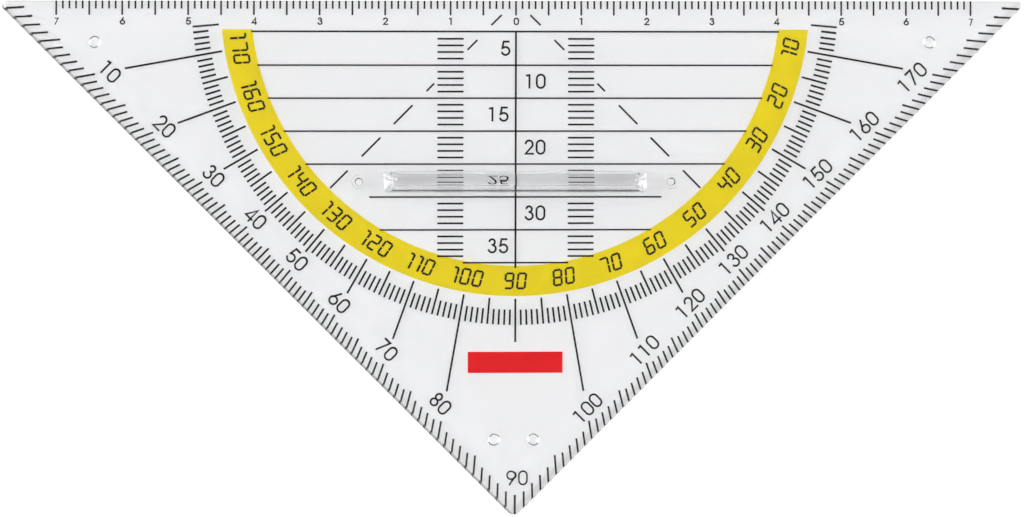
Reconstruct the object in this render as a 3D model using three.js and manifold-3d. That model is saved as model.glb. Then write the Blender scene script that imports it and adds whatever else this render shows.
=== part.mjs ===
// A clear set square with a printed protractor and a plug-in grip, in millimetres.
// The origin is the zero mark: the middle of the drawing edge, level with the printed underside.
// X runs along the drawing edge, Y points out of it, and Z points up through the grip.
import * as THREE from "three";
import { mergeVertices } from "three/addons/utils/BufferGeometryUtils.js";
import Module from "manifold-3d";

const wasm = await Module();
wasm.setup();

// The plate: a right-angled triangle with two equal legs, thinner at its bevelled edges. A narrow,
// steeper chamfer breaks the rim along each leg.
const legLength = 112;
const plateThickness = 2;
const rimThickness = 1;
const drawingBevelWidth = 5.1;
const legBevelWidth = 5.5;
const legChamferWidth = 0.4;
const legChamferDrop = 0.4; // below the rim's height, on the leg's side face
const tipRadius = 0.7;
const apexRadius = 1.3;

// The spacer nubs under the plate, which keep its print off the paper
const nubRadius = 0.9;
const nubHeight = 0.5;
const nubEdgeRadius = 0.45;
const tipNubInset = 15.2; // from the sharp tip, along the drawing edge
const tipNubDepth = 6.3; // from the drawing edge
const apexNubRise = 12; // from the sharp apex
const apexNubSpacing = 6;

// The grip's bar: a low skirt that flares out at its foot, leaning sides and ends, and a rounded crown
const gripLength = 40.4;
const gripWidth = 3.36;
const gripHeight = 7;
const gripCornerRadius = 0.8;
const gripDepth = 27.7; // from the drawing edge to the bar's middle
const skirtHeight = 1.2;
const skirtSideFlare = 0.21;
const skirtEndFlare = 0.45;
const gripSideLean = 0.54; // how far each side leans in from the skirt to the crown
const gripEndLean = 1.15;
const crownRise = 0.55;
const crownFlatWidth = 0.4; // the strip left flat along the ridge

// The grip's feet, which reach past the bar's ends to the pins
const pinReach = 3.7; // from the bar's end to the pin's axis
const pinRadius = 0.6;
const pinClearance = 0.05; // round the pin, in its hole
const pinEndChamfer = 0.2;
const pinRecess = 0.15; // from the pin's end to the underside
const footThickness = 0.5;
const footBossRadius = 1.1;
const footRootWidth = 2.6;
const footRootHeight = 0.9; // where the foot's top runs into the end of the bar

// The print on the underside
const inkThickness = 0.05;
const inkLineWidth = 0.24;
const bandLegMargin = 10.9; // from the band's outer radius to the legs
const bandWidth = 4.6;
const bandEndDepth = 4.7; // from the drawing edge to the band's straight ends
const gridSpacing = 5;
const gridBandGap = 0.1; // from the ends of the lines to the band
const shortLineNumber = 6; // counted from the drawing edge
const shortLineBandGap = 4.8;
const panelLength = 14.4;
const panelWidth = 3.3;
const panelRise = 24.1; // from the sharp apex to the panel's middle

// How far a cutter or a root runs on past the face that it meets
const overrun = 0.4;

// Facets on round forms, and the most that a corner takes of a narrow ring's half width
const roundSteps = 32;
const cornerSteps = 5;
const bandSteps = 45;
const roundingShare = 0.9;

const halfEdge = legLength / Math.SQRT2;
const legDistance = legLength / 2; // from the zero mark to each leg
const bandOuterRadius = legDistance - bandLegMargin;
const bandInnerRadius = bandOuterRadius - bandWidth;
const pinPlace = gripLength / 2 + pinReach; // from the middle of the grip
const crownLength = gripLength - 2 * (skirtEndFlare + gripEndLean); // at the crown's shoulder
const crownWidth = gripWidth - 2 * (skirtSideFlare + gripSideLean);

const clearPlastic = new THREE.MeshStandardMaterial({
  color: 0xeef1f4,
  roughness: 0.08,
  metalness: 0,
  transparent: true,
  opacity: 0.35,
});
const yellowInk = new THREE.MeshStandardMaterial({ color: 0xe8d51e, roughness: 0.5, metalness: 0 });
const blackInk = new THREE.MeshStandardMaterial({ color: 0x2b2625, roughness: 0.5, metalness: 0 });
const redInk = new THREE.MeshStandardMaterial({ color: 0xe31b23, roughness: 0.5, metalness: 0 });

// A closed geometry as a solid that can be joined and cut
function solidOf(geometry) {
  const bare = geometry.clone();
  bare.deleteAttribute("normal");
  bare.deleteAttribute("uv");
  const welded = mergeVertices(bare);
  const corners = Array.from(welded.index.array);
  const triangles = [];
  for (let first = 0; first < corners.length; first += 3) {
    const [a, b, c] = corners.slice(first, first + 3);
    if (a !== b && b !== c && c !== a) triangles.push(a, b, c);
  }
  const mesh = new wasm.Mesh({
    numProp: 3,
    vertProperties: new Float32Array(welded.attributes.position.array),
    triVerts: new Uint32Array(triangles),
  });
  return new wasm.Manifold(mesh);
}

// A finished solid as a flat-shaded geometry
function geometryOf(solid) {
  const { vertProperties, triVerts } = solid.getMesh();
  const geometry = new THREE.BufferGeometry();
  geometry.setAttribute("position", new THREE.BufferAttribute(vertProperties, 3));
  geometry.setIndex(new THREE.BufferAttribute(triVerts, 1));
  const faceted = geometry.toNonIndexed();
  faceted.computeVertexNormals();
  return faceted;
}

function extruded(shape, depth, curveSegments = cornerSteps) {
  return new THREE.ExtrudeGeometry(shape, { depth, bevelEnabled: false, curveSegments });
}

// A pin, nub or hole: a profile of radii and heights, from its foot up, turned about a vertical axis
function turned(profile, x, y) {
  const points = profile.map(([radius, height]) => new THREE.Vector2(radius, height));
  const geometry = new THREE.LatheGeometry(points, roundSteps);
  geometry.rotateX(Math.PI / 2);
  geometry.translate(x, y, 0);
  return solidOf(geometry);
}

// The triangle's outline, with its sharp corners rounded
function plateOutline() {
  const tipReach = tipRadius / Math.tan(Math.PI / 8);
  const apexReach = apexRadius * Math.SQRT2;
  const outline = new THREE.Shape();
  outline.absarc(-halfEdge + tipReach, -tipRadius, tipRadius, Math.PI / 2, (5 * Math.PI) / 4);
  outline.absarc(0, -halfEdge + apexReach, apexRadius, (5 * Math.PI) / 4, (7 * Math.PI) / 4);
  outline.absarc(halfEdge - tipReach, -tipRadius, tipRadius, -Math.PI / 4, Math.PI / 2);
  return outline;
}

// A wedge that planes one edge of the plate, from a corner along the edge. Its slope rises from one
// height at the edge to another at its inner side.
function edgeCutter(corner, inward, edgeLength, width, edgeHeight, innerHeight) {
  const slope = (innerHeight - edgeHeight) / width;
  const section = new THREE.Shape([
    new THREE.Vector2(-overrun, edgeHeight - overrun * slope),
    new THREE.Vector2(width + overrun, innerHeight + overrun * slope),
    new THREE.Vector2(-overrun, innerHeight + overrun * slope),
  ]);
  const geometry = extruded(section, edgeLength + 2 * overrun);
  const up = new THREE.Vector3(0, 0, 1);
  const along = new THREE.Vector3().crossVectors(inward, up);
  geometry.translate(0, 0, -overrun);
  geometry.applyMatrix4(new THREE.Matrix4().makeBasis(inward, up, along).setPosition(corner));
  return solidOf(geometry);
}

// A low round nub, its lower edge rounded and its root inside the plate
function nub(x, y) {
  const profile = [[0, -nubHeight]];
  for (let step = 0; step <= cornerSteps; step += 1) {
    const turn = (step / cornerSteps) * (Math.PI / 2);
    profile.push([
      nubRadius - nubEdgeRadius * (1 - Math.sin(turn)),
      -nubHeight + nubEdgeRadius * (1 - Math.cos(turn)),
    ]);
  }
  profile.push([nubRadius, overrun], [0, overrun]);
  return turned(profile, x, y);
}

function pinHole(x, y) {
  const radius = pinRadius + pinClearance;
  const top = plateThickness + overrun;
  return turned([[0, -overrun], [radius, -overrun], [radius, top], [0, top]], x, y);
}

function makePlate() {
  const leftTip = new THREE.Vector3(-halfEdge, 0, 0);
  const rightTip = new THREE.Vector3(halfEdge, 0, 0);
  const apex = new THREE.Vector3(0, -halfEdge, 0);
  const legs = [
    [leftTip, new THREE.Vector3(1, 1, 0).normalize()],
    [apex, new THREE.Vector3(-1, 1, 0).normalize()],
  ];
  const fromDrawingEdge = new THREE.Vector3(0, -1, 0);
  const chamferFoot = rimThickness - legChamferDrop;
  const chamferTop = rimThickness + ((plateThickness - rimThickness) * legChamferWidth) / legBevelWidth;
  const cutters = [
    edgeCutter(rightTip, fromDrawingEdge, 2 * halfEdge, drawingBevelWidth, rimThickness, plateThickness),
  ];
  for (const [corner, inward] of legs) {
    cutters.push(edgeCutter(corner, inward, legLength, legBevelWidth, rimThickness, plateThickness));
    cutters.push(edgeCutter(corner, inward, legLength, legChamferWidth, chamferFoot, chamferTop));
  }
  let plate = solidOf(extruded(plateOutline(), plateThickness));
  for (const cutter of cutters) plate = plate.subtract(cutter);
  for (const side of [-1, 1]) {
    plate = plate.add(nub(side * (halfEdge - tipNubInset), -tipNubDepth));
    plate = plate.add(nub((side * apexNubSpacing) / 2, -halfEdge + apexNubRise));
    plate = plate.subtract(pinHole(side * pinPlace, -gripDepth));
  }
  return geometryOf(plate);
}

// A rounded oblong about the middle of the grip, as a ring of points
function roundedOblong(length, width, cornerRadius) {
  const radius = Math.min(cornerRadius, (roundingShare * width) / 2);
  const ring = [];
  const quarters = [[1, 1], [-1, 1], [-1, -1], [1, -1]];
  quarters.forEach(([sideX, sideY], quarter) => {
    for (let step = 0; step <= cornerSteps; step += 1) {
      const turn = (quarter + step / cornerSteps) * (Math.PI / 2);
      ring.push([
        sideX * (length / 2 - radius) + radius * Math.cos(turn),
        sideY * (width / 2 - radius) + radius * Math.sin(turn),
      ]);
    }
  });
  return ring;
}

// A closed skin through rings of equally many points, capped at both ends
function lofted(rings, heights) {
  const count = rings[0].length;
  const vertices = rings.flatMap((ring, level) => ring.map(([x, y]) => [x, y, heights[level]]));
  const lastRing = (rings.length - 1) * count;
  const triangles = [];
  for (let start = 0; start < lastRing; start += count) {
    for (let point = 0; point < count; point += 1) {
      const a = start + point;
      const b = start + ((point + 1) % count);
      triangles.push(a, b, b + count, a, b + count, a + count);
    }
  }
  for (let point = 1; point < count - 1; point += 1) {
    triangles.push(0, point + 1, point);
    triangles.push(lastRing, lastRing + point, lastRing + point + 1);
  }
  const geometry = new THREE.BufferGeometry();
  geometry.setAttribute("position", new THREE.Float32BufferAttribute(vertices.flat(), 3));
  geometry.setIndex(triangles);
  return geometry;
}

// The bar, from the face that lies on the plate by the skirt's top to the crown and its flat ridge
function gripBar() {
  const kneeLength = gripLength - 2 * skirtEndFlare;
  const kneeWidth = gripWidth - 2 * skirtSideFlare;
  const rings = [
    roundedOblong(gripLength, gripWidth, gripCornerRadius),
    roundedOblong(kneeLength, kneeWidth, gripCornerRadius),
  ];
  const heights = [0, skirtHeight];
  const deepest = (crownWidth - crownFlatWidth) / 2;
  for (let step = 0; step <= cornerSteps; step += 1) {
    const turn = (step / cornerSteps) * (Math.PI / 2);
    const inset = deepest * (1 - Math.cos(turn));
    rings.push(roundedOblong(crownLength - 2 * inset, crownWidth - 2 * inset, gripCornerRadius));
    heights.push(gripHeight - crownRise * (1 - Math.sin(turn)));
  }
  return solidOf(lofted(rings, heights));
}

// One foot: its plan tapers from the bar to the pin's boss, and its top sweeps down from the bar
function gripFoot(turn) {
  const barEnd = gripLength / 2;
  const root = crownLength / 2 - overrun;
  const plan = new THREE.Shape();
  plan.moveTo(root, -footRootWidth / 2);
  plan.lineTo(barEnd, -footRootWidth / 2);
  plan.lineTo(pinPlace, -footBossRadius);
  plan.absarc(pinPlace, 0, footBossRadius, -Math.PI / 2, Math.PI / 2);
  plan.lineTo(barEnd, footRootWidth / 2);
  plan.lineTo(root, footRootWidth / 2);
  const planBlock = extruded(plan, footRootHeight + overrun);

  const farEnd = pinPlace + footBossRadius + overrun;
  const side = new THREE.Shape();
  side.moveTo(root - overrun, 0);
  side.lineTo(farEnd, 0);
  side.lineTo(farEnd, footThickness);
  side.lineTo(pinPlace - footBossRadius, footThickness);
  side.quadraticCurveTo(barEnd, footThickness, crownLength / 2, footRootHeight);
  side.lineTo(root - overrun, footRootHeight);
  const sideBlock = extruded(side, footRootWidth + 2 * overrun);
  sideBlock.translate(0, 0, -footRootWidth / 2 - overrun);
  sideBlock.rotateX(Math.PI / 2);

  planBlock.rotateZ(turn);
  sideBlock.rotateZ(turn);
  return solidOf(planBlock).intersect(solidOf(sideBlock));
}

// A pin under the foot's boss, its end chamfered
function gripPin(x) {
  const end = pinRecess - plateThickness;
  const profile = [
    [0, end],
    [pinRadius - pinEndChamfer, end],
    [pinRadius, end + pinEndChamfer],
    [pinRadius, footThickness / 2],
    [0, footThickness / 2],
  ];
  return turned(profile, x, 0);
}

function makeGrip() {
  let grip = gripBar();
  for (const turn of [0, Math.PI]) grip = grip.add(gripFoot(turn));
  for (const side of [-1, 1]) grip = grip.add(gripPin(side * pinPlace));
  return geometryOf(grip);
}

// The coloured half ring, its ends cut level with the drawing edge
function makeBand() {
  const outerStart = -Math.asin(bandEndDepth / bandOuterRadius);
  const innerStart = -Math.asin(bandEndDepth / bandInnerRadius);
  const shape = new THREE.Shape();
  shape.absarc(0, 0, bandOuterRadius, outerStart, -Math.PI - outerStart, true);
  shape.absarc(0, 0, bandInnerRadius, -Math.PI - innerStart, innerStart, false);
  const geometry = extruded(shape, inkThickness, bandSteps);
  geometry.translate(0, 0, -inkThickness);
  return geometryOf(solidOf(geometry));
}

// A film under the plate, from oblong cells that share whole edges. A cell lists its left, right,
// near and far sides, and a wall stands on each edge that only one cell has.
function filmOfCells(cells) {
  const rings = cells.map(([left, right, near, far]) => [
    [left, near],
    [right, near],
    [right, far],
    [left, far],
  ]);
  const edgeName = (from, to) => `${from} ${to}`;
  const edges = new Set(rings.flatMap((ring) => ring.map((from, n) => edgeName(from, ring[(n + 1) % 4]))));
  const low = ([x, y]) => [x, y, -inkThickness];
  const high = ([x, y]) => [x, y, 0];
  const corners = [];
  for (const ring of rings) {
    const [a, b, c, d] = ring;
    corners.push(high(a), high(b), high(c), high(a), high(c), high(d));
    corners.push(low(a), low(c), low(b), low(a), low(d), low(c));
    ring.forEach((from, n) => {
      const to = ring[(n + 1) % 4];
      if (edges.has(edgeName(to, from))) return;
      corners.push(low(from), low(to), high(to), low(from), high(to), high(from));
    });
  }
  const geometry = new THREE.BufferGeometry();
  geometry.setAttribute("position", new THREE.Float32BufferAttribute(corners.flat(), 3));
  geometry.computeVertexNormals();
  return geometry;
}

// The centre line with the parallel lines that cross it
function makeGrid() {
  const reach = bandInnerRadius - gridBandGap;
  const halfLine = inkLineWidth / 2;
  const lineCount = Math.floor((reach - inkLineWidth) / gridSpacing);
  const cells = [];
  for (let number = 1; number <= lineCount; number += 1) {
    const depth = number * gridSpacing;
    const toBand = Math.sqrt(reach ** 2 - (depth + halfLine) ** 2);
    const end = number === shortLineNumber ? toBand - shortLineBandGap : toBand;
    const near = -halfLine - depth;
    const far = halfLine - depth;
    const stemEnd = number === lineCount ? -reach : halfLine - (number + 1) * gridSpacing;
    cells.push([-end, -halfLine, near, far]);
    cells.push([-halfLine, halfLine, near, far]);
    cells.push([halfLine, end, near, far]);
    cells.push([-halfLine, halfLine, stemEnd, near]);
  }
  return filmOfCells(cells);
}

// The small oblong above the apex
function makePanel() {
  const middle = -halfEdge + panelRise;
  const [near, far] = [middle - panelWidth / 2, middle + panelWidth / 2];
  return filmOfCells([[-panelLength / 2, panelLength / 2, near, far]]);
}

function piece(name, geometry, material) {
  const mesh = new THREE.Mesh(geometry, material);
  mesh.name = name;
  return mesh;
}

const grip = piece("grip", makeGrip(), clearPlastic);
grip.position.set(0, -gripDepth, plateThickness);

const triangle = new THREE.Group();
triangle.add(
  piece("plate", makePlate(), clearPlastic),
  grip,
  piece("protractor_band", makeBand(), yellowInk),
  piece("grid_print", makeGrid(), blackInk),
  piece("label_panel", makePanel(), redInk),
);

export default triangle;
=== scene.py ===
# A clear plastic drafting triangle with a printed protractor and a plug-in grip bar.
# The frame is the CAD part's, in metres. Sizes below are in millimetres, times mm.
import math

import bmesh
import bpy
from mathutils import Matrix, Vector


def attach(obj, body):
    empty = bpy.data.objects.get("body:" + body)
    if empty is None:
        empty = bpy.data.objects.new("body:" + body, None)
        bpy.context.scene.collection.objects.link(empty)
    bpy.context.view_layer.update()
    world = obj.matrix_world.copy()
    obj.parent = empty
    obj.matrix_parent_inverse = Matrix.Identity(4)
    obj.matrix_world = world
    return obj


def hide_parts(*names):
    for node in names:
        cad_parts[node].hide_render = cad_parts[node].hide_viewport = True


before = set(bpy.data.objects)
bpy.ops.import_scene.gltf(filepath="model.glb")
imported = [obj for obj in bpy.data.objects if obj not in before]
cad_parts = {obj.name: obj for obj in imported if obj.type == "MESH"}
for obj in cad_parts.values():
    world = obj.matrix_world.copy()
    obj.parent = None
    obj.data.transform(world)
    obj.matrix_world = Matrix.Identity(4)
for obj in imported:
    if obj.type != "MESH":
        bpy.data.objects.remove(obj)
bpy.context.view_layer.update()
mm = 0.001


# The camera looks straight down from about half a metre, as the photograph does.
# Its place and its slight lean bring the scales onto the ones in the photograph.
camera = bpy.data.objects.new("camera", bpy.data.cameras.new("camera"))
bpy.context.scene.collection.objects.link(camera)
camera.location = (-11.04 * mm, -48.01 * mm, 500 * mm)
camera.rotation_euler = [math.radians(turn) for turn in (0.978, -1.239, -0.067)]
camera.data.sensor_width = 36
camera.data.lens = 114.657
camera.data.clip_start = 0.01
bpy.context.scene.camera = camera
bpy.context.scene.view_settings.view_transform = "Standard"


# A light table's opal sheet under the triangle, in a studio with a soft lamp at the left and a weaker
# one at the right, as on a copy stand. The sheet glows from below, so that shadows are faint.
sheet_mesh = bpy.data.meshes.new("opal_sheet")
sheet_mesh.from_pydata(
    [(x * mm, y * mm, -0.52 * mm) for x, y in ((-900, -900), (900, -900), (900, 900), (-900, 900))],
    [],
    [(0, 1, 2, 3)],
)
sheet = bpy.data.objects.new("opal_sheet", sheet_mesh)
bpy.context.scene.collection.objects.link(sheet)

opal_acrylic = bpy.data.materials.new("opal_acrylic")
opal_acrylic.use_nodes = True
nodes, links = opal_acrylic.node_tree.nodes, opal_acrylic.node_tree.links
surface = nodes["Principled BSDF"]
surface.inputs["Roughness"].default_value = 0.9
surface.inputs["Specular IOR Level"].default_value = 0.0
surface.inputs["Emission Color"].default_value = (1, 1, 1, 1)
surface.inputs["Emission Strength"].default_value = 0.62
clouding = nodes.new("ShaderNodeTexNoise")
clouding.inputs["Scale"].default_value = 900
clouding.inputs["Detail"].default_value = 3
shade = nodes.new("ShaderNodeValToRGB")
shade.color_ramp.elements[0].color = (0.345, 0.345, 0.345, 1)
shade.color_ramp.elements[1].color = (0.355, 0.355, 0.355, 1)
links.new(clouding.outputs["Fac"], shade.inputs["Fac"])
links.new(shade.outputs["Color"], surface.inputs["Base Color"])
sheet_mesh.materials.append(opal_acrylic)

studio = bpy.data.worlds.new("studio")
studio.use_nodes = True
nodes, links = studio.node_tree.nodes, studio.node_tree.links
dome = nodes["Background"]
dome.inputs["Color"].default_value = (1, 1, 1, 1)
direction = nodes.new("ShaderNodeTexCoord")
glow = None
for toward, brightness in (((-0.72, 0.12, 0.68), 12.4), ((0.72, 0.0, 0.68), 7.0)):
    toward_lamp = nodes.new("ShaderNodeVectorMath")
    toward_lamp.operation = "DOT_PRODUCT"
    toward_lamp.inputs[1].default_value = Vector(toward).normalized()
    lamp = nodes.new("ShaderNodeMapRange")
    lamp.interpolation_type = "SMOOTHSTEP"
    lamp.inputs["From Min"].default_value = 0.90
    lamp.inputs["From Max"].default_value = 0.985
    lamp.inputs["To Min"].default_value = 0.0
    lamp.inputs["To Max"].default_value = brightness
    links.new(direction.outputs["Generated"], toward_lamp.inputs[0])
    links.new(toward_lamp.outputs["Value"], lamp.inputs["Value"])
    both = nodes.new("ShaderNodeMath")
    both.operation = "ADD"
    both.inputs[0].default_value = 0.42
    if glow:
        links.new(glow.outputs["Value"], both.inputs[0])
    links.new(lamp.outputs["Result"], both.inputs[1])
    glow = both
# The camera and its dark ceiling keep the light off the plate straight from above
height = nodes.new("ShaderNodeSeparateXYZ")
ceiling = nodes.new("ShaderNodeMapRange")
ceiling.interpolation_type = "SMOOTHSTEP"
ceiling.inputs["From Min"].default_value = 0.90
ceiling.inputs["From Max"].default_value = 0.975
ceiling.inputs["To Min"].default_value = 1.0
ceiling.inputs["To Max"].default_value = 0.15
# The room behind the lamps is dimmer
walls = nodes.new("ShaderNodeMapRange")
walls.interpolation_type = "SMOOTHSTEP"
walls.inputs["From Min"].default_value = 0.10
walls.inputs["From Max"].default_value = 0.55
walls.inputs["To Min"].default_value = 0.4
walls.inputs["To Max"].default_value = 1.0
shading = nodes.new("ShaderNodeMath")
shading.operation = "MULTIPLY"
strength = nodes.new("ShaderNodeMath")
strength.operation = "MULTIPLY"
links.new(direction.outputs["Generated"], height.inputs["Vector"])
links.new(height.outputs["Z"], ceiling.inputs["Value"])
links.new(height.outputs["Z"], walls.inputs["Value"])
links.new(ceiling.outputs["Result"], shading.inputs[0])
links.new(walls.outputs["Result"], shading.inputs[1])
links.new(glow.outputs["Value"], strength.inputs[0])
links.new(shading.outputs["Value"], strength.inputs[1])
links.new(strength.outputs["Value"], dome.inputs["Strength"])
bpy.context.scene.world = studio


# The plate: one clear acrylic moulding, thinner at its bevelled edges, on four low spacer nubs.
# It is lofted from rounded triangles, then drilled for the grip's two pins.
half_edge = 112 / math.sqrt(2)
drawing_bevel, leg_bevel = 5.1, 5.5
plate_thickness, rim = 2.0, 1.0
# The chamfer along the legs, which came out wider on the left one: half of both together, and its drop
leg_chamfer, chamfer_lean, chamfer_drop = 0.25, 0.184, 0.4
edge_softness, underside_softness = 0.12, 0.05
# Corner radii at the two sharp tips and at the right angle
tip_radius, apex_radius = 0.7, 1.3
# The same radii at the foot of the bevels, and how much of each is lost on the way up
bevel_tip, tip_loss, bevel_apex, apex_loss = 0.5, 0.25, 1.1, 0.8


def rounded_triangle(drawing_inset, leg_inset, tip_radius, apex_radius, height, lean=0.0, steps=10):
    tip_x = half_edge - leg_inset * math.sqrt(2) - drawing_inset
    apex_y = -(half_edge - leg_inset * math.sqrt(2))
    tip_reach = tip_radius / math.tan(math.pi / 8)
    arcs = (
        (lean - tip_x + tip_reach, -drawing_inset - tip_radius, tip_radius, 90, 225),
        (lean, apex_y + apex_radius * math.sqrt(2), apex_radius, 225, 315),
        (lean + tip_x - tip_reach, -drawing_inset - tip_radius, tip_radius, -45, 90),
    )
    ring = []
    for x, y, radius, start, end in arcs:
        for step in range(steps + 1):
            turn = math.radians(start + (end - start) * step / steps)
            ring.append((x + radius * math.cos(turn), y + radius * math.sin(turn), height))
    return ring


def lofted(rings):
    """A closed mesh through rings of equally many points, capped at both ends."""
    shell = bmesh.new()
    loops = [[shell.verts.new([c * mm for c in point]) for point in ring] for ring in rings]
    count = len(loops[0])
    for lower, upper in zip(loops, loops[1:]):
        for n in range(count):
            after = (n + 1) % count
            shell.faces.new((lower[n], lower[after], upper[after], upper[n]))
    shell.faces.new(list(reversed(loops[0])))
    shell.faces.new(loops[-1])
    return shell


def turned(profile, x, y, steps=48):
    """A round solid: a profile of radii and heights, from its foot up, about a vertical axis."""
    rings = []
    for radius, height in profile:
        turns = [2 * math.pi * n / steps for n in range(steps)]
        rings.append([(x + radius * math.cos(t), y + radius * math.sin(t), height) for t in turns])
    return lofted(rings)


def shape_object(name, shell):
    bmesh.ops.recalc_face_normals(shell, faces=shell.faces)
    mesh = bpy.data.meshes.new(name)
    shell.to_mesh(mesh)
    shell.free()
    made = bpy.data.objects.new(name, mesh)
    bpy.context.scene.collection.objects.link(made)
    return made


def joined(body, others, operation):
    """Joins or cuts the body with the others and leaves the result in its mesh."""
    for other in others:
        step = body.modifiers.new("step", "BOOLEAN")
        step.operation = operation
        step.solver = "EXACT"
        step.object = other
        bpy.context.view_layer.update()
        result = bpy.data.meshes.new_from_object(body.evaluated_get(bpy.context.evaluated_depsgraph_get()))
        body.modifiers.clear()
        body.data = result
        bpy.data.objects.remove(other)


def polished(made, crease=35):
    """Smooth shading over the roundings, with the flat faces kept flat."""
    made.data.shade_smooth()
    made.data.set_sharp_from_angle(angle=math.radians(crease))
    flats = made.modifiers.new("flats", "WEIGHTED_NORMAL")
    flats.keep_sharp = True
    flats.weight = 100


def softened(radius, steps=7):
    """The inset and drop of a small rounding, from the side face to the flat one."""
    turns = [math.radians(90 * n / steps) for n in range(steps + 1)]
    return [(radius * (1 - math.cos(t)), radius * (1 - math.sin(t))) for t in turns]


# The bevels end in a soft bend: how far up each bevel, as shares of its width and of its height
bevel_run = [(0.92, 0.92), (1.03, 0.985), (1.12, 1.0)]
plate_rings = []
for inset, drop in reversed(softened(underside_softness)):
    plate_rings.append(rounded_triangle(inset, inset, tip_radius - inset, apex_radius - inset, drop))
plate_rings.append(rounded_triangle(0, 0, tip_radius, apex_radius, rim - chamfer_drop))
chamfer_top = rim + (plate_thickness - rim) * leg_chamfer / leg_bevel
for inset, drop in softened(edge_softness) + [((chamfer_top - rim) * drawing_bevel, rim - chamfer_top)]:
    height = rim - drop
    cut = (height - rim + chamfer_drop) / (chamfer_top - rim + chamfer_drop)
    narrowing = 0.45 * leg_chamfer * cut
    tip, apex = tip_radius - narrowing, apex_radius - narrowing
    plate_rings.append(rounded_triangle(inset, leg_chamfer * cut, tip, apex, height, chamfer_lean * cut))
for run, rise in bevel_run:
    tip, apex = bevel_tip - tip_loss * min(run, 1), bevel_apex - apex_loss * min(run, 1)
    height = rim + rise * (plate_thickness - rim)
    plate_rings.append(rounded_triangle(run * drawing_bevel, run * leg_bevel, tip, apex, height))
plate = shape_object("clear_plate", lofted(plate_rings))

nub_radius, nub_height, nub_softness = 0.9, 0.5, 0.45
# How far the nubs, and the cutters of the holes, reach past the plate's faces
sunk = 0.4
nub_places = [(side * (half_edge - 15.2), -6.3) for side in (-1, 1)]
nub_places += [(side * 3.0, -half_edge + 12) for side in (-1, 1)]
nub_profile = [(nub_radius - inset, -nub_height + drop) for inset, drop in reversed(softened(nub_softness, 8))]
nub_profile += [(nub_radius, sunk)]
joined(plate, [shape_object("nub", turned(nub_profile, x, y)) for x, y in nub_places], "UNION")

# The grip's middle, and how far out its pins stand
grip_x, grip_y = 0.25, -27.78
pin_reach, hole_radius = 23.9, 0.65
pin_places = (grip_x - pin_reach, grip_x + pin_reach)
hole_profile = [(hole_radius, -sunk), (hole_radius, plate_thickness + sunk)]
joined(plate, [shape_object("hole", turned(hole_profile, x, grip_y)) for x in pin_places], "DIFFERENCE")
polished(plate, crease=16)


def clear_acrylic(name):
    """Polished clear acrylic, its gloss a little uneven from handling. Returns it with its Object coordinates."""
    acrylic = bpy.data.materials.new(name)
    acrylic.use_nodes = True
    nodes, links = acrylic.node_tree.nodes, acrylic.node_tree.links
    surface = nodes["Principled BSDF"]
    surface.inputs["Transmission Weight"].default_value = 1.0
    surface.inputs["IOR"].default_value = 1.49
    place = nodes.new("ShaderNodeTexCoord")
    haze = nodes.new("ShaderNodeTexNoise")
    haze.inputs["Scale"].default_value = 60
    haze.inputs["Detail"].default_value = 4
    polish = nodes.new("ShaderNodeMapRange")
    polish.inputs["To Min"].default_value = 0.0
    polish.inputs["To Max"].default_value = 0.03
    links.new(place.outputs["Object"], haze.inputs["Vector"])
    links.new(haze.outputs["Fac"], polish.inputs["Value"])
    links.new(polish.outputs["Result"], surface.inputs["Roughness"])
    return acrylic, place.outputs["Object"]


def faded(acrylic, color, measured, start, end, first, last):
    """A colour scaled from the first strength to the last one as a measure in millimetres goes from start to end."""
    nodes, links = acrylic.node_tree.nodes, acrylic.node_tree.links
    fade = nodes.new("ShaderNodeMapRange")
    fade.interpolation_type = "SMOOTHSTEP"
    fade.inputs["From Min"].default_value = start * mm
    fade.inputs["From Max"].default_value = end * mm
    fade.inputs["To Min"].default_value = first
    fade.inputs["To Max"].default_value = last
    tinted = nodes.new("ShaderNodeVectorMath")
    tinted.operation = "SCALE"
    links.new(measured, fade.inputs["Value"])
    links.new(fade.outputs["Result"], tinted.inputs["Scale"])
    if isinstance(color, tuple):
        tinted.inputs[0].default_value = color
    else:
        links.new(color, tinted.inputs[0])
    return tinted.outputs["Vector"]


def measure(acrylic, place, operation, point):
    gauge = acrylic.node_tree.nodes.new("ShaderNodeVectorMath")
    gauge.operation = operation
    gauge.inputs[1].default_value = point
    acrylic.node_tree.links.new(place, gauge.inputs[0])
    return gauge.outputs["Value"]


# Painted shade along the edges: the clear colour greys towards the left leg's edge most, less towards the right
# leg's and the drawing edge. From where to where, and how much light is left there
clear_plastic, place = clear_acrylic("clear_plastic")
color = (0.95, 0.953, 0.963)
painted_edge_shade = (
    ((-0.7071, -0.7071, 0), 55.52, 55.66, 0.44),
    ((0.7071, -0.7071, 0), 54.3, 55.4, 0.86),
    ((0, 1, 0), -0.35, -0.1, 0.9),
)
for across, start, end, left in painted_edge_shade:
    reach = measure(clear_plastic, place, "DOT_PRODUCT", across)
    color = faded(clear_plastic, color, reach, start, end, 1.0, left)
clear_plastic.node_tree.links.new(color, clear_plastic.node_tree.nodes["Principled BSDF"].inputs["Base Color"])
plate.data.materials.append(clear_plastic)
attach(plate, "plate")
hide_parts("plate")


# The grip: one clear moulded bar with leaning sides, a thin foot at each end and a pin under each foot.
# It sits on the plate so closely that light crosses from one to the other without a gap: it is sunk by a hair.
grip_foot = plate_thickness - 0.02
bar_height, corner_radius = 7, 0.8
# Half the bar's length and width at its foot, at the knee of its flared skirt and at the shoulder of its crown
foot_half = (20.2, 1.66)
knee_half, knee_height = (19.75, 1.5), 1.2
shoulder_half, crown_rise = (18.6, 0.94), 0.66
# Where a foot starts under the bar and leaves it, and half its width there and at its boss
foot_start, foot_leaves, half_root, half_boss = 19.7, 20.2, 1.3, 1.1
pin_radius = 0.6


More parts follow.
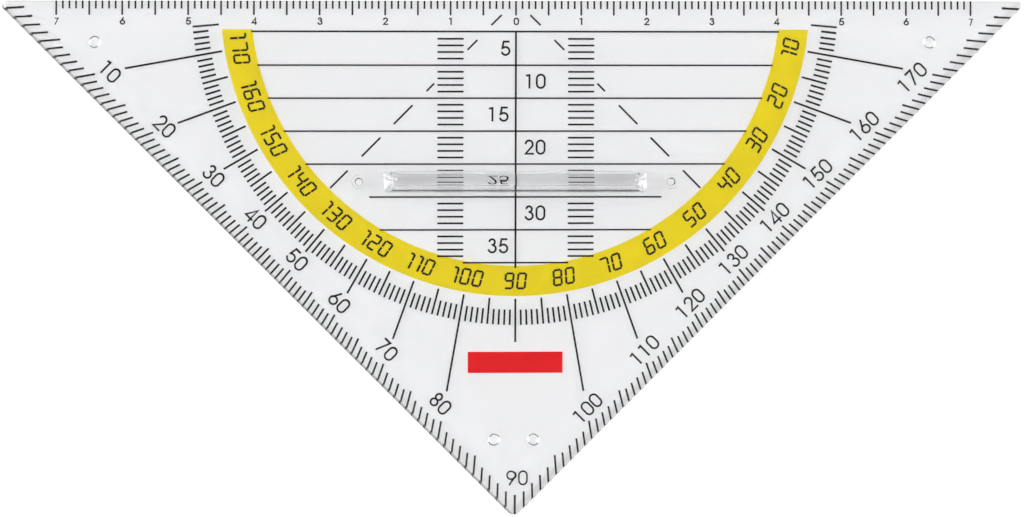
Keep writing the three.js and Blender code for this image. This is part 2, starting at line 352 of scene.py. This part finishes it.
def oblong(half_length, half_width, radius, height, steps=8):
    ring = []
    for quarter, (side_x, side_y) in enumerate(((1, 1), (-1, 1), (-1, -1), (1, -1))):
        for step in range(steps + 1):
            turn = (quarter + step / steps) * math.pi / 2
            x = side_x * (half_length - radius) + radius * math.cos(turn)
            y = side_y * (half_width - radius) + radius * math.sin(turn)
            ring.append((x + grip_x, y + grip_y, height))
    return ring


def foot_plan(side, inset, height):
    """The outline of a foot, which tapers from under the bar to the boss over its pin."""
    root, boss = half_root - inset, half_boss - inset
    turns = [math.pi * n / 24 for n in range(25)]
    plan = [(foot_start, -root), (foot_leaves, -root)]
    plan += [(pin_reach + boss * math.sin(t), -boss * math.cos(t)) for t in turns]
    plan += [(foot_leaves, root), (foot_start, root)]
    return [(side * x + grip_x, side * y + grip_y, height) for x, y in plan]


grip_rings = [
    oblong(*foot_half, corner_radius, grip_foot),
    oblong(*knee_half, corner_radius, plate_thickness + knee_height),
]
for step in range(13):
    turn = math.radians(89 * step / 12)
    inset = shoulder_half[1] * (1 - math.cos(turn))
    half_width = shoulder_half[1] - inset
    height = plate_thickness + bar_height - crown_rise * (1 - math.sin(turn))
    grip_rings.append(oblong(shoulder_half[0] - inset, half_width, 0.98 * half_width, height))
grip = shape_object("grip_bar", lofted(grip_rings))

# Each foot's edge, from its underside up: how far in, and how high over the plate
foot_edge = ((0.0, grip_foot - plate_thickness - 0.004), (0.06, 0.25), (0.14, 0.38), (0.22, 0.42))
feet = []
for side in (-1, 1):
    rings = [foot_plan(side, inset, plate_thickness + rise) for inset, rise in foot_edge]
    feet.append(shape_object("foot", lofted(rings)))
joined(grip, feet, "UNION")
pin_profile = [(0.52, 0.05), (pin_radius, 0.13), (pin_radius, 2.3)]
joined(grip, [shape_object("pin", turned(pin_profile, x, grip_y)) for x in pin_places], "UNION")
polished(grip)
grip.data.materials.append(clear_plastic)

# The grip's underside carries painted shade and light: its colour is painted darker than the plate's, darker still
# from 7 mm out towards each end, and brighter again at the slanted ends as a painted highlight, with a painted
# shadow beside each end of the bar
joint_face_painted_shading, place = clear_acrylic("joint_face_painted_shading")
color = (0.87, 0.873, 0.885)
# Painted shade from 7 mm out towards each end of the bar, then a painted highlight at its slanted end
for side in (-1, 1):
    along = measure(joint_face_painted_shading, place, "DOT_PRODUCT", (side, 0, 0))
    color = faded(joint_face_painted_shading, color, along, 7.0, 16.5, 1.0, 0.80)
    color = faded(joint_face_painted_shading, color, along, 17.9, 19.1, 1.0, 1.4)
# Two painted shadows by the bar's ends, the right one darker
for x, left in ((-21.7, 0.9), (21.1, 0.7)):
    middle = measure(joint_face_painted_shading, place, "DISTANCE", (x * mm, (grip_y + 0.2) * mm, plate_thickness * mm))
    color = faded(joint_face_painted_shading, color, middle, 0.2, 1.3, left, 1.0)
joint_face_painted_shading.node_tree.links.new(color, joint_face_painted_shading.node_tree.nodes["Principled BSDF"].inputs["Base Color"])
grip.data.materials.append(joint_face_painted_shading)

# The thin feet hardly show on the plate. A weaker index than acrylic's stands in for that.
thin_foot = clear_acrylic("thin_foot")[0]
thin_foot.node_tree.nodes["Principled BSDF"].inputs["IOR"].default_value = 1.15
thin_foot.node_tree.nodes["Principled BSDF"].inputs["Base Color"].default_value = (1, 1, 1, 1)
grip.data.materials.append(thin_foot)
for face in grip.data.polygons:
    middle = face.center / mm
    if abs(middle.z - grip_foot) < 0.002:
        face.material_index = 1
    elif abs(middle.x) > foot_start and grip_foot - 0.01 < middle.z < plate_thickness + 0.43:
        face.material_index = 2
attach(grip, "grip")
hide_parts("grip")


# The yellow print: the protractor's half ring on the plate's underside, cut level near the drawing edge.
# Like all the print, it sits a little off the moulding's middle, and its screen was askew and unevenly stretched.
print_shift = (0.4409, 0.271)
print_stretch = (1.00248, 1.01407)
print_skew = (0.00372, -0.00055)
print_drift = (-3.98e-5, 9.78e-5)
ink_gap, ink_film = 0.012, 0.01


def on_plate(x, y):
    """Where a point of the artwork lands on the moulding."""
    drift = print_drift[0] * x + print_drift[1] * y
    return (
        x * (print_stretch[0] + drift) + y * print_skew[0] + print_shift[0],
        y * (print_stretch[1] + drift) + x * print_skew[1] + print_shift[1],
    )


def printed(name, outlines, ink, level=0.0):
    """Flat films of ink under the plate, one for each outline in millimetres."""
    film = bmesh.new()
    top = (-ink_gap - level) * mm
    for outline in outlines:
        placed = [[c * mm for c in on_plate(x, y)] for x, y in outline]
        upper = [film.verts.new((x, y, top)) for x, y in placed]
        lower = [film.verts.new((x, y, top - ink_film * mm)) for x, y in placed]
        film.faces.new(upper)
        film.faces.new(list(reversed(lower)))
        for n in range(len(placed)):
            after = (n + 1) % len(placed)
            film.faces.new((upper[after], upper[n], lower[n], lower[after]))
    made = shape_object(name, film)
    made.data.materials.append(ink)
    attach(made, "plate")
    return made


def ink_material(name, light, dark, roughness):
    """Screen ink: its coat is a little uneven, so its colour and gloss drift between two values."""
    ink = bpy.data.materials.new(name)
    ink.use_nodes = True
    nodes, links = ink.node_tree.nodes, ink.node_tree.links
    surface = nodes["Principled BSDF"]
    surface.inputs["Specular IOR Level"].default_value = 0.3
    place = nodes.new("ShaderNodeTexCoord")
    coat = nodes.new("ShaderNodeTexNoise")
    coat.inputs["Scale"].default_value = 220
    coat.inputs["Detail"].default_value = 3
    tone = nodes.new("ShaderNodeValToRGB")
    tone.color_ramp.elements[0].position = 0.3
    tone.color_ramp.elements[0].color = (*dark, 1)
    tone.color_ramp.elements[1].position = 0.7
    tone.color_ramp.elements[1].color = (*light, 1)
    gloss = nodes.new("ShaderNodeMapRange")
    gloss.inputs["To Min"].default_value = roughness - 0.08
    gloss.inputs["To Max"].default_value = roughness + 0.08
    links.new(place.outputs["Object"], coat.inputs["Vector"])
    links.new(coat.outputs["Fac"], tone.inputs["Fac"])
    links.new(coat.outputs["Fac"], gloss.inputs["Value"])
    links.new(tone.outputs["Color"], surface.inputs["Base Color"])
    links.new(gloss.outputs["Result"], surface.inputs["Roughness"])
    return ink


yellow_ink = ink_material("yellow_ink", (0.915, 0.722, 0.002), (0.86, 0.677, 0.004), 0.5)
band_outer, band_inner, band_depth = 45.1, 40.5, 4.7
band_cells = []
band_steps = 120
for step in range(band_steps):
    corners = []
    for radius, n in ((band_outer, step), (band_outer, step + 1), (band_inner, step + 1), (band_inner, step)):
        start = -math.asin(band_depth / radius)
        turn = start + (-math.pi - 2 * start) * n / band_steps
        corners.append((radius * math.cos(turn), radius * math.sin(turn)))
    band_cells.append(corners)
band = printed("yellow_band", band_cells, yellow_ink, level=0.012)
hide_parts("protractor_band")


# The black grid: the centre line, with the parallels every 5 mm, and short marks each millimetre between.
# It is one pass of black screen ink, as are the scales and numerals after it.
black_ink = ink_material("black_ink", (0.016, 0.013, 0.012), (0.009, 0.007, 0.006), 0.55)


def stroke(start, end, width=0.25):
    """A straight ink line between two points, as its outline."""
    along = (Vector(end) - Vector(start)).normalized() * (width / 2)
    across = Vector((-along.y, along.x))
    a, b = Vector(start), Vector(end)
    return [tuple(p) for p in (a - across, b - across, b + across, a + across)]


def on_ray(radius, degrees):
    turn = math.radians(180 + degrees)
    return radius * math.cos(turn), radius * math.sin(turn)


grid_lines = [stroke((0, -5), (0, -40.8), 0.3)]
for number in range(1, 9):
    depth = 5 * number
    end = {6: 22.4, 8: 8.1}.get(number, math.sqrt((band_inner + 0.22) ** 2 - depth**2))
    grid_lines.append(stroke((-end, -depth), (end, -depth)))
for row in range(5, 40, 5):
    for depth in range(row + 1, row + 5):
        for side in (-1, 1):
            grid_lines.append(stroke((side * 8, -depth), (side * 12, -depth), 0.28))
for near, far in ((2.5, 4.0), (6.2, 7.65), (12.8, 13.9), (16.1, 18.9), (21.0, 23.8), (26, 28.6)):
    for side in (-1, 1):
        grid_lines.append(stroke((side * (near - 0.31), 0.04 - near), (side * (far - 0.23), -far - 0.04), 0.28))
grid = printed("grid_lines", grid_lines, black_ink)
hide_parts("grid_print")


# The graduations: a millimetre scale on the drawing edge, the protractor's degrees round the band,
# and the same degrees again where their rays reach the two legs.
tick_width = 0.3
fives_end, ones_end = -2.52, -1.54
edge_ticks = []
for mark in range(-70, 71):
    start = -(print_shift[1] + print_skew[1] * mark + 0.05) / print_stretch[1]
    edge_ticks.append(stroke((mark, start), (mark, fives_end if mark % 5 == 0 else ones_end), 0.28))
edge_scale = printed("millimetre_scale", edge_ticks, black_ink)

ray_ends = {10: 60.5, 20: 54.9, 30: 51.5, 40: 50.0, 50: 50.0, 60: 51.5, 70: 54.9, 80: 60.5, 90: 52.1}
ring_ticks = []
for degree in range(5, 176):
    start = 45.5 if degree % 5 == 0 else 47.15
    end = ray_ends[min(degree, 180 - degree)] if degree % 10 == 0 else 49.5
    ring_ticks.append(stroke(on_ray(start, degree), on_ray(end, degree), tick_width))
ring_scale = printed("degree_ring", ring_ticks, black_ink)

leg_margin = 0.06
leg_ticks = []
for degree in range(1, 180):
    side = -1 if degree <= 90 else 1
    turn = math.radians(degree)
    across = (abs(math.cos(turn)) + math.sin(turn)) / math.sqrt(2)
    inner = (55.9 - (2.6 if degree % 5 == 0 else 2.05)) / across
    behind, ahead = [Vector(on_plate(*on_ray(reach / across, degree))) for reach in (55, 56)]
    outward = Vector((side, -1)).normalized()
    to_leg = 55 + (56 - leg_margin - behind.dot(outward)) / (ahead - behind).dot(outward)
    to_apex = 55 + (half_edge - 0.6 + behind.y) / max(behind.y - ahead.y, 0.1)
    leg_ticks.append(stroke(on_ray(min(to_leg, to_apex) / across, degree), on_ray(inner, degree), tick_width))
leg_scale = printed("leg_degrees", leg_ticks, black_ink)


# The numerals: thin, round-shouldered drafting figures, drawn as strokes of ink.
# The centimetres stand on the drawing edge, the grid's depths by the centre line, the degrees on the legs.
def arc(x, y, radius_x, radius_y, start, end, steps=12):
    turns = [math.radians(start + (end - start) * n / steps) for n in range(steps + 1)]
    return [(x + radius_x * math.cos(t), y + radius_y * math.sin(t)) for t in turns]


# Each figure stands on 0 and is 1 tall: its width, then its strokes
drafting_figures = {
    "0": (0.60, [arc(0.30, 0.70, 0.30, 0.30, 0, 180) + arc(0.30, 0.30, 0.30, 0.30, 180, 360) + [(0.60, 0.70)]]),
    "1": (0.60, [[(0.12, 0.93), (0.31, 0.965), (0.31, 0.03)]]),
    "2": (0.60, [arc(0.30, 0.72, 0.27, 0.28, 165, -38) + [(0.03, 0.0), (0.59, 0.0)]]),
    "3": (0.60, [arc(0.31, 0.783, 0.21, 0.217, 160, -80) + arc(0.31, 0.28, 0.28, 0.28, 80, -160)]),
    "4": (0.60, [[(0.48, 0.0), (0.48, 1.0), (0.0, 0.22), (0.60, 0.22)]]),
    "5": (0.60, [[(0.53, 1.0), (0.15, 1.0), (0.06, 0.51)] + arc(0.30, 0.30, 0.295, 0.30, 132, -155)]),
    "6": (0.60, [[(0.40, 1.0), (0.07, 0.45)] + arc(0.30, 0.30, 0.30, 0.30, 150, 510)]),
    "7": (0.60, [[(0.09, 1.0), (0.56, 1.0), (0.14, 0.0)]]),
    "8": (0.60, [arc(0.29, 0.765, 0.225, 0.235, 0, 360), arc(0.29, 0.265, 0.265, 0.265, 0, 360)]),
    "9": (0.60, [[(0.20, 0.0), (0.53, 0.55)] + arc(0.30, 0.70, 0.30, 0.30, -30, 330)]),
}


def ribbon(points, width):
    """An ink stroke along several points, as outlines that share their ends."""
    path = [Vector(p) for p in points]
    path = [p for n, p in enumerate(path) if n == 0 or (p - path[n - 1]).length > 1e-4]
    sides = []
    for n, point in enumerate(path):
        before = (point - path[n - 1]).normalized() if n else None
        after = (path[n + 1] - point).normalized() if n + 1 < len(path) else None
        if before is None:
            point = point - after * width / 2
        if after is None:
            point = point + before * width / 2
        heading = ((before or after) + (after or before)).normalized()
        across = Vector((-heading.y, heading.x))
        bend = across.dot(Vector((-(before or after).y, (before or after).x)))
        sides.append((point + across * width / 2 / max(bend, 0.5), point - across * width / 2 / max(bend, 0.5)))
    return [[tuple(p) for p in (a[0], a[1], b[1], b[0])] for a, b in zip(sides, sides[1:])]


def lettered(text, x, y, height, width, turn=0.0, spacing=0.2, figures=drafting_figures, lean=0.0, spread=1.0):
    """Outlines of a number whose middle lies at x, y, turned by degrees."""
    widths = [figures[figure][0] for figure in text]
    total = sum(widths) + spacing * (len(text) - 1)
    left = -total / 2
    cos, sin = math.cos(math.radians(turn)), math.sin(math.radians(turn))
    outlines = []
    for figure, room in zip(text, widths):
        for points in figures[figure][1]:
            placed = []
            for a, b in points:
                b -= 0.5
                a, b = (left + a + lean * b) * height * spread, b * height
                placed.append((x + a * cos - b * sin, y + a * sin + b * cos))
            outlines += ribbon(placed, width)
        left += room + spacing
    return outlines


edge_numbers = []
for mark in range(-7, 8):
    height, width = (0.82, 0.16) if abs(mark) == 7 else (0.95, 0.22)
    edge_numbers += lettered(str(abs(mark)), mark * 10 + 0.05, -3.44, height, width, spread=1.1)
edge_numerals = printed("centimetre_numerals", edge_numbers, black_ink)

grid_numbers = []
for number in range(1, 8):
    text = str(5 * number)
    middle_x = -1.59 if number == 1 else -2.72 if number % 2 else 2.94
    grid_numbers += lettered(text, middle_x, -5 * number - 2.43, 2.02, 0.3, spacing=0.27)
grid_numerals = printed("grid_numerals", grid_numbers, black_ink)

# How far each number lies from its ray, along the leg and outward, on the left leg and on the right one
left_offsets = ((-0.05, 0.10), (-0.31, 0.09), (0.04, 0.12), (-0.17, 0.14))
left_offsets += ((-0.22, 0.13), (-0.34, 0.13), (-0.23, 0.13), (-0.59, 0.12))
right_offsets = ((-0.19, 0.46), (0.23, 0.40), (0.03, 0.33), (0.15, 0.32))
right_offsets += ((0.21, 0.24), (0.30, 0.20), (0.32, 0.15), (-1.2, 0.09))
leg_numbers = lettered("90", 0.32, -72.77, 2.06, 0.25, spacing=0.23)
for first, side, offsets in ((10, -1, left_offsets), (100, 1, right_offsets)):
    for step, (along, outward) in enumerate(offsets):
        degree = first + 10 * step
        turn = math.radians(180 + degree)
        reach = 72.6 / (abs(math.cos(turn)) + abs(math.sin(turn)))
        middle = Vector((reach * math.cos(turn), reach * math.sin(turn)))
        middle += along * Vector((1, side)).normalized() + outward * Vector((side, -1)).normalized()
        leg_numbers += lettered(str(degree), middle.x, middle.y, 2.09, 0.29, turn=45 * side, spacing=0.23)
leg_numerals = printed("leg_numerals", leg_numbers, black_ink)


# The band's numerals: seven-stroke display figures, leaning a little, over the yellow ink.
# The strokes stop short of each other halfway up, as on a pocket calculator.
def display_figure(strokes):
    segments = {
        "top": [(0.10, 1.0), (0.42, 1.0)],
        "upper_left": [(0.0, 0.91), (0.0, 0.60)],
        "upper_right": [(0.52, 0.91), (0.52, 0.60)],
        "middle": [(0.09, 0.5), (0.43, 0.5)],
        "lower_left": [(0.0, 0.40), (0.0, 0.09)],
        "lower_right": [(0.52, 0.40), (0.52, 0.09)],
        "foot": [(0.10, 0.0), (0.42, 0.0)],
    }
    return 0.52, [segments[name] for name in strokes.split()]


display_figures = {
    "0": display_figure("top upper_left upper_right lower_left lower_right foot"),
    "1": (0.305, [[(0.10, 1.0), (0.22, 0.99)], [(0.305, 0.91), (0.305, 0.60)], [(0.305, 0.40), (0.305, 0.03)]]),
    "2": display_figure("top upper_right middle lower_left foot"),
    "3": display_figure("top upper_right middle lower_right foot"),
    "4": display_figure("upper_left upper_right middle lower_right"),
    "5": display_figure("top upper_left middle lower_right foot"),
    "6": display_figure("top upper_left middle lower_left lower_right foot"),
    "7": (0.52, [[(0.06, 1.0), (0.42, 1.0)], [(0.52, 0.91), (0.52, 0.60)], [(0.52, 0.40), (0.52, 0.03)]]),
    "8": display_figure("top upper_left upper_right middle lower_left lower_right foot"),
    "9": display_figure("top upper_left upper_right middle lower_right foot"),
}
band_numbers = []
for degree in range(10, 180, 10):
    x, y = on_ray(42.77, degree)
    band_numbers += lettered(
        str(180 - degree), x, y, 2.27, 0.32, turn=degree - 90, spacing=0.317, figures=display_figures, lean=0.116
    )
band_numerals = printed("band_numerals", band_numbers, black_ink)


# The red print: a plain oblong panel above the right-angled corner, in one flat coat.
# It carries nothing.
red_ink = ink_material("red_ink", (0.86, 0.001, 0.004), (0.82, 0.001, 0.003), 0.5)
panel_y = -half_edge + 24.1
panel_outline = [(-7.28, panel_y - 1.7), (7.28, panel_y - 1.7), (7.28, panel_y + 1.52), (-7.28, panel_y + 1.52)]
panel = printed("red_panel", [panel_outline], red_ink)
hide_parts("label_panel")
